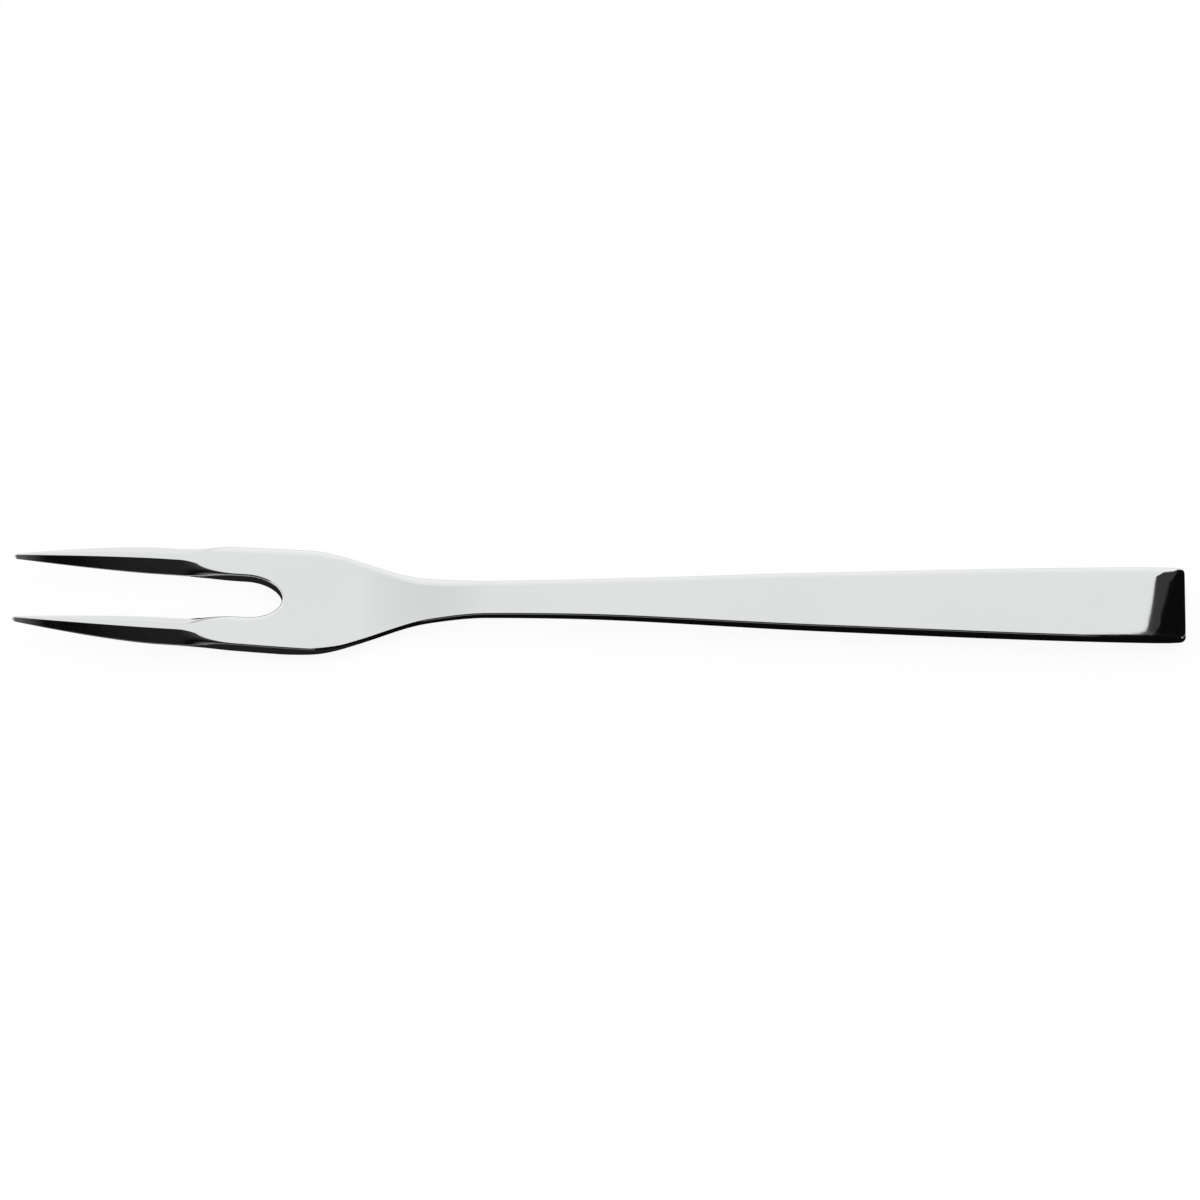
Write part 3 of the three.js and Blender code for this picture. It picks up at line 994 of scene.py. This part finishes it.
    def build(self, finish: Material) -> Object:
        """Models the head.

        Args:
            finish: The head's material.

        Returns:
            The piece, which stands for the head's solid.
        """
        bm = new_mesh()
        rows = []
        for place in self.places():
            x = self.lines.from_middle(place)
            rows.append([SurfacePoint(x, *point) for point in self.section(place)])
        wrap_sheet(bm, rows)
        bmesh.ops.remove_doubles(bm, verts=bm.verts, dist=WELD)
        middle = [face for face in bm.faces if all(abs(vert.co.y) < WELD for vert in face.verts)]
        bmesh.ops.delete(bm, geom=middle, context="FACES")
        geometry = [*bm.verts, *bm.edges, *bm.faces]
        bmesh.ops.mirror(bm, geom=geometry, matrix=Matrix(), merge_dist=WELD, axis="Y")
        self.add_tang(bm)
        piece = steel_piece(bm, "forged_head", finish)
        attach(piece, BODY)
        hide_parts("fork_head")
        return piece


class Half(Enum):
    """Which half of the handle a shell is: its piece name and the solid that it stands for."""

    UPPER = ("handle_face_shell", "handle_upper_shell")
    LOWER = ("handle_under_shell", "handle_lower_shell")


@dataclass
class HandleShell:
    """One pressed half of the hollow handle, with its real wall, from the seam outwards."""

    lines: ForkLines
    half: Half
    wall: float = 0.0006
    end_roll: float = 0.009
    roll_fullness: float = 3.0
    end_flat: float = 0.002
    end_corner: float = 0.0012
    end_edge: float = 0.0007
    end_gather: float = 0.96
    least_edge: float = 0.00012
    corner_steps: int = 12
    face_steps: int = 30
    wall_steps: int = 6
    length_steps: int = 90
    roll_steps: int = 30
    flat_steps: int = 3

    def section(self, place: float, inset: float, height: float) -> list[SectionPoint]:
        """Draws the open section of the shell's outer form, or of the same form drawn in.

        Args:
            place: Where along the fork.
            inset: How far the form is drawn in all round.
            height: The share of the section's height that is left, below 1 on the flat of the handle's end.

        Returns:
            The points from the seam on the +Y side to the seam on the -Y side.
        """
        lines = self.lines
        roll_at = lines.end_at - self.end_roll
        rolled = clamp((place - roll_at) / (self.end_roll - inset))
        left = (1.0 - rolled ** self.roll_fullness) ** (1.0 / self.roll_fullness)
        upper = self.half is Half.UPPER
        full = lines.side_height(place) if upper else lines.depth(place) - lines.side_height(place)
        deep = blend(self.end_flat / 2, full - inset, left)
        past = clamp(place - (lines.end_at - inset - self.end_corner), 0.0, self.end_corner)
        drawn_in = self.end_corner - math.sqrt(self.end_corner ** 2 - past * past)
        half = lines.half_width(place) - inset - drawn_in
        if upper:
            points = self.upper_points(half, deep, inset, rolled)
        else:
            points = self.lower_points(half, deep)
        seam, gathered = lines.seam(place), blend(self.end_gather, 1.0, height)
        return [point._replace(y=point.y * gathered, z=seam + point.z * height) for point in points]

    def upper_points(self, half: float, deep: float, inset: float, rolled: float) -> list[SectionPoint]:
        """Draws a section of the face and its two upper walls, over a seam at height 0.

        Args:
            half: Half the width.
            deep: The height of the face over the seam.
            inset: How far the form is drawn in.
            rolled: How far the end has rolled over, from 0 to 1.

        Returns:
            The points from +Y to -Y.
        """
        lines = self.lines
        edge = max(blend(lines.edge_radius, self.end_edge, rolled) - inset, self.least_edge)
        edge = min(edge, deep)
        seam = SectionPoint(half, 0.0, 0.0)
        rise = corner((half, deep - edge), (half, deep), (half - edge, deep), self.corner_steps)
        fall = mirrored(rise)
        face = [*rise, *side(lines, rise[-1], fall[0], self.face_steps), *fall]
        face = [point._replace(z=point.z - lines.buffed(half - edge - abs(point.y))) for point in face]
        wall = [seam, *side(lines, seam, face[0], self.wall_steps)]
        return wall + face + mirrored(wall)

    def lower_points(self, half: float, deep: float) -> list[SectionPoint]:
        """Draws a section of the rounded underside, below a seam at height 0.

        Args:
            half: Half the width.
            deep: The depth of the underside below the seam.

        Returns:
            The points from +Y to -Y.
        """
        round_width = self.lines.rounding_share * half
        fall = corner((half, 0.0), (half, -deep), (half - round_width, -deep), 2 * self.corner_steps)
        rise = mirrored(fall)
        sole = side(self.lines, fall[-1], rise[0], self.face_steps)
        return [point._replace(rim=0.0) for point in fall + sole + rise]

    def ring(self, place: float, height: float) -> list[SurfacePoint]:
        """Draws the closed section of the shell's wall.

        Args:
            place: Where along the fork the outer skin is.
            height: The share of the section's height that is left.

        Returns:
            The points of the outer skin, those of the inner skin backwards, and the first once more.
        """
        lines = self.lines
        roll_at = lines.end_at - self.end_roll
        outer, inner = [], []
        for skin, inset in ((outer, 0.0), (inner, self.wall)):
            drawn = place - max(place - roll_at, 0.0) * inset / self.end_roll
            x = lines.from_middle(drawn)
            skin.extend(SurfacePoint(x, *point) for point in self.section(drawn, inset, height))
        return [*outer, *reversed(inner), outer[0]]

    @staticmethod
    def closed(ring: list[SurfacePoint]) -> list[SurfacePoint]:
        """Returns a ring with its outer skin laid onto its inner skin, which closes the wall at one end."""
        backwards = ring[len(ring) // 2:-1]
        return [*reversed(backwards), *backwards, backwards[-1]]

    def rows(self) -> list[list[SurfacePoint]]:
        """Returns the wall's rings from the mouth to the end, and then down or up the end to the seam."""
        lines = self.lines
        roll_at = lines.end_at - self.end_roll
        places = in_order(
            even_places(lines.mouth_at, roll_at, self.length_steps),
            round_places(roll_at, self.end_roll, self.roll_steps),
            round_places(lines.end_at - self.end_corner, self.end_corner, self.corner_steps),
        )
        rings = [self.ring(place, 1.0) for place in places]
        rings += [self.ring(lines.end_at, height) for height in even_places(1.0, 0.0, self.flat_steps)[1:]]
        return [self.closed(rings[0]), *rings, self.closed(rings[-1])]

    def build(self, finish: Material) -> Object:
        """Models the shell.

        Args:
            finish: The shell's material.

        Returns:
            The piece, which stands for the shell's solid.
        """
        bm = new_mesh()
        wrap_sheet(bm, self.rows())
        bmesh.ops.remove_doubles(bm, verts=bm.verts, dist=WELD)
        name, node = self.half.value
        piece = steel_piece(bm, name, finish)
        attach(piece, BODY)
        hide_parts(node)
        return piece


@dataclass
class InnerJoint:
    """What holds the head in the handle: the frame's own bead of solder and plug of cement."""

    solder_node: str = "seam_solder"
    cement_node: str = "tang_cement"

    def dress(self, effects: Effects) -> list[Object]:
        """Gives both pieces their finishes.

        Args:
            effects: The shared surface effects.

        Returns:
            The two pieces.
        """
        pieces = []
        for node, fill in ((self.solder_node, RUN_SOLDER), (self.cement_node, SET_CEMENT)):
            piece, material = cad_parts[node], fill.material(effects)
            for slot in piece.material_slots:
                slot.material = material
            pieces.append(piece)
        return pieces


class Glow(NamedTuple):
    """How bright a card's painted reflection in the steel is, up to one height and from another height on."""

    low: float
    high: float
    start: float = 0.0
    end: float = 1.0


class Shade(Enum):
    """The cards' kinds of glow: painted dark reflections, painted sheens and painted highlights brighter than
    white.
    """

    BLACK = Glow(0.004, 0.004)
    CHARCOAL = Glow(0.018, 0.018)
    DARK_GREY = Glow(0.047, 0.047)
    MID_GREY = Glow(0.5, 0.5)
    # NEAR_LOW and NEAR_SIDE grade with height, painting lighter reflections low down and high up on the near
    # side
    NEAR_LOW = Glow(0.3, 0.004, 0.0, 0.55)
    NEAR_SIDE = Glow(0.004, 0.08, 0.69, 1.2)
    # FAR_LOW and FAR_SIDE glow brighter than the white table and paint the highlights along the far edges
    FAR_LOW = Glow(0.95, 1.25, 0.75, 1.0)
    FAR_SIDE = Glow(1.25, 1.0, 1.45, 1.7)


@dataclass
class Studio:
    """The white table, the light, the cards whose glow paints reflections into the steel, and the camera."""

    floor_size: float = 12.0
    floor_drop: float = 0.00002
    floor_glow: float = 0.9
    floor_mirror_glow: float = 0.92
    floor_roughness: float = 0.95
    card_reach: float = 2.0
    low_cards_at: float = 0.0001
    high_cards_at: float = 1.0
    card_gap: float = 0.001
    world_strength: float = 1.0
    world_dim: float = 0.87
    world_dim_span: Pair = (-0.24, -0.03)
    lamp_size: float = 1.6
    lamp_height: float = 1.8
    lamp_setback: float = 0.2
    lamp_power: float = 3.0
    lens: float = 400.0
    sensor: float = 36.0
    view_reach: float = 100.0
    elevation: float = math.radians(58)
    roll: float = math.radians(0.56)
    picture_width: float = 0.26667
    aim_right: float = 0.0001
    aim_up: float = 0.00247

    def floor_material(self) -> Material:
        """Builds the matt white of the table, lit through so that the fork's shadow stays faint.

        Returns:
            The material.
        """
        board = FinishBoard("white_table")
        path = board.node("ShaderNodeLightPath").outputs
        seen = board.math("MAXIMUM", path["Is Camera Ray"], path["Is Glossy Ray"])
        white = board.between(seen, 0.0, 1.0, 1.0, 1.0 - self.floor_glow)
        mirrored = board.math("MULTIPLY", path["Is Glossy Ray"], self.floor_mirror_glow)
        glow = board.math("MULTIPLY_ADD", path["Is Camera Ray"], self.floor_glow, mirrored)
        board.set(Base_Color=white, Emission_Color=glow, Emission_Strength=1.0)
        board.set(Roughness=self.floor_roughness, Specular_IOR_Level=0.0)
        return board.material

    def painted_reflection_material(self, shade: Shade) -> Material:
        """Builds the glow of a card, which paints a reflection into the steel.

        Args:
            shade: How bright it is.

        Returns:
            The material.
        """
        board = FinishBoard(f"card_{shade.name.lower()}")
        glow = shade.value
        height = board.node("ShaderNodeSeparateXYZ", {0: board.coordinates}).outputs["Z"]
        level = board.between(height, glow.start, glow.end, glow.low, glow.high)
        # the emission, graded by height, is the painted reflection that the steel mirrors
        board.set(Base_Color=(0.0, 0.0, 0.0, 1.0), Emission_Color=level, Emission_Strength=1.0)
        board.set(Specular_IOR_Level=0.0)
        return board.material

    def flat(self, name: str, corners: Sequence[Triple], material: Material) -> Object:
        """Makes a flat sheet that isn't part of the fork.

        Args:
            name: Its name.
            corners: Its corners in order round it.
            material: Its material.

        Returns:
            The sheet.
        """
        bm = bmesh.new()
        sheet = bmesh.ops.create_circle(bm, cap_ends=True, segments=len(corners), radius=1.0)
        for vert, place in zip(sheet["verts"], corners):
            vert.co = place
        made = add_object(bm, name, material)
        return made

    @staticmethod
    def level(height: float, *corners: Pair) -> list[Triple]:
        """Returns the corners of a level sheet from those of its plan, in order round it."""
        return [(x, y, height) for x, y in corners]

    @staticmethod
    def standing(start: Pair, end: Pair, height: float, lean: float = 0.0) -> list[Triple]:
        """Returns the corners of a standing card from the ends of its foot, in order round it."""
        (x0, y0), (x1, y1) = start, end
        return [(x0, y0, 0.0), (x1, y1, 0.0), (x1, y1 + lean, height), (x0, y0 + lean, height)]

    def add_floor(self) -> None:
        """Lays the white table top."""
        reach = self.floor_size / 2
        square = [(-reach, -reach), (reach, -reach), (reach, reach), (-reach, reach)]
        self.flat("table_top", self.level(-self.floor_drop, *square), self.floor_material())

    def add_reflection_cards(self) -> None:
        """Puts up the cards that only mirrors see, whose glow paints reflections into the steel.

        The low cards lie on the table and paint dark reflections, a painted shade, into the near walls and
        the slot. The near cards stand in front of the fork, the far ones behind it and the end ones past its
        handle.
        Two of these hang level over the end, with edges cut on the slants of the dark shapes that they paint
        as reflections into the rolled end. The corner card paints a lighter reflection onto the face in views
        from behind.
        """
        low, high, reach = self.low_cards_at, self.high_cards_at, self.card_reach
        cards = {
            "handle_low_card": (Shade.BLACK, self.level(
                low, (-0.05, -0.98), (0.79, -0.98), (0.79, 0.0), (0.145, -0.005), (-0.05, -0.004),
            )),
            "crown_low_card": (Shade.CHARCOAL, self.level(
                low, (-0.092, -0.98), (-0.05, -0.98), (-0.05, -0.004), (-0.092, -0.0085),
            )),
            "tine_low_card": (Shade.BLACK, self.level(
                low, (-0.4, -0.98), (-0.092, -0.98), (-0.092, -0.0085), (-0.4, -0.0085),
            )),
            "slot_low_card": (Shade.CHARCOAL, self.level(
                low, (-0.0915, 0.0035), (-0.0885, -0.0045), (-0.069, -0.0045), (-0.069, 0.006),
                (-0.09, 0.006),
            )),
            "near_card": (Shade.NEAR_SIDE, self.standing((-0.8, -1.0), (0.14, -1.0), 1.2, lean=0.4)),
            "near_end_card": (Shade.BLACK, self.standing((0.14, -1.0), (0.6, -1.0), 1.2, lean=0.4)),
            "near_low_card": (Shade.NEAR_LOW, self.standing((-0.8, -0.98), (0.115, -0.98), 0.55, lean=0.183)),
            "far_card": (Shade.FAR_SIDE, self.standing((-reach, 1.2), (reach, 1.2), 1.7)),
            "far_low_card": (Shade.FAR_LOW, self.standing((-reach, 1.19), (reach, 1.19), 1.0)),
            "end_grey_card": (Shade.DARK_GREY, self.level(
                high, (0.12, -0.6), (0.8, -0.6), (0.8, 1.19), (0.38, 0.79), (0.294, 0.746), (0.215, 0.72),
                (0.187, 0.66), (0.184, 0.631), (0.171, 0.6145), (0.167, 0.53), (0.164, 0.505), (0.153, 0.4),
            )),
            "end_black_card": (Shade.BLACK, self.level(
                high - self.card_gap, (0.135, -0.6), (0.8, -0.6), (0.8, 1.15), (0.377, 0.782), (0.295, 0.663),
                (0.272, 0.6395), (0.197, 0.617), (0.186, 0.56), (0.175, 0.5),
            )),
            "corner_card": (Shade.MID_GREY, self.standing((0.6, -0.95), (0.85, -0.5), high)),
            "end_low_card": (Shade.NEAR_LOW, self.standing((0.79, -0.5), (0.79, 0.25), 0.55)),
            "end_side_card": (Shade.BLACK, self.standing((0.8, -0.5), (0.8, 1.19), high)),
        }
        for name, (shade, corners) in cards.items():
            card = self.flat(name, corners, self.painted_reflection_material(shade))
            # hidden from the camera, from lighting and from shadows, so each card only paints a reflection
            # into the steel
            card.visible_camera = False
            card.visible_diffuse = False
            card.visible_shadow = False

    def add_light(self) -> None:
        """Lights the table evenly, with one soft lamp overhead."""
        world = bpy.data.worlds.new("white_studio")
        world.use_nodes = True
        board = Board(world.node_tree)
        background = world.node_tree.nodes["Background"]
        way = board.node("ShaderNodeTexCoord").outputs["Generated"]
        along = board.node("ShaderNodeSeparateXYZ", {0: way}).outputs["X"]
        level = board.between(along, *self.world_dim_span, self.world_dim, 1.0)
        board.feed(background.inputs["Color"], level)
        board.feed(background.inputs["Strength"], self.world_strength)
        bpy.context.scene.world = world
        lamp = bpy.data.lights.new("overhead_softbox", "AREA")
        lamp.size = self.lamp_size
        lamp.energy = self.lamp_power
        softbox = bpy.data.objects.new("overhead_softbox", lamp)
        softbox.location = (0.0, self.lamp_setback, self.lamp_height)
        softbox.visible_glossy = False
        bpy.context.scene.collection.objects.link(softbox)

    def add_camera(self) -> None:
        """Sets up the camera on the near side, looking down at the face."""
        camera = bpy.data.cameras.new("camera")
        camera.lens = self.lens
        camera.sensor_width = self.sensor
        camera.clip_end = self.view_reach
        back = Vector((0.0, -math.cos(self.elevation), math.sin(self.elevation)))
        right = Vector((1.0, 0.0, 0.0))
        up = back.cross(right)
        target = right * self.aim_right + up * self.aim_up
        stand = bpy.data.objects.new("camera", camera)
        turn = (-back).to_track_quat("-Z", "Y").to_matrix().to_4x4() @ Matrix.Rotation(self.roll, 4, "Z")
        distance = self.picture_width * self.lens / self.sensor
        stand.matrix_world = Matrix.Translation(target + back * distance) @ turn
        bpy.context.scene.collection.objects.link(stand)
        bpy.context.scene.camera = stand

    def build(self) -> None:
        """Sets up everything round the fork."""
        self.add_camera()
        self.add_floor()
        self.add_reflection_cards()
        self.add_light()
        bpy.context.scene.view_settings.view_transform = "Standard"


def main() -> None:
    """Builds the studio and the fork, and reports each piece."""
    logging.basicConfig(level=logging.INFO, format="%(name)s: %(message)s")
    Studio().build()
    lines, effects = ForkLines(), Effects()
    head_steel = PolishedSteel("head_steel").material(effects)
    handle_steel = PolishedSteel("handle_steel").material(effects)
    pieces = [
        ForkHead(lines).build(head_steel),
        HandleShell(lines, Half.UPPER).build(handle_steel),
        HandleShell(lines, Half.LOWER).build(handle_steel),
        *InnerJoint().dress(effects),
    ]
    for piece in pieces:
        LOG.info("%s: %d faces", piece.name, len(piece.data.polygons))


if __name__ == "__main__":
    main()
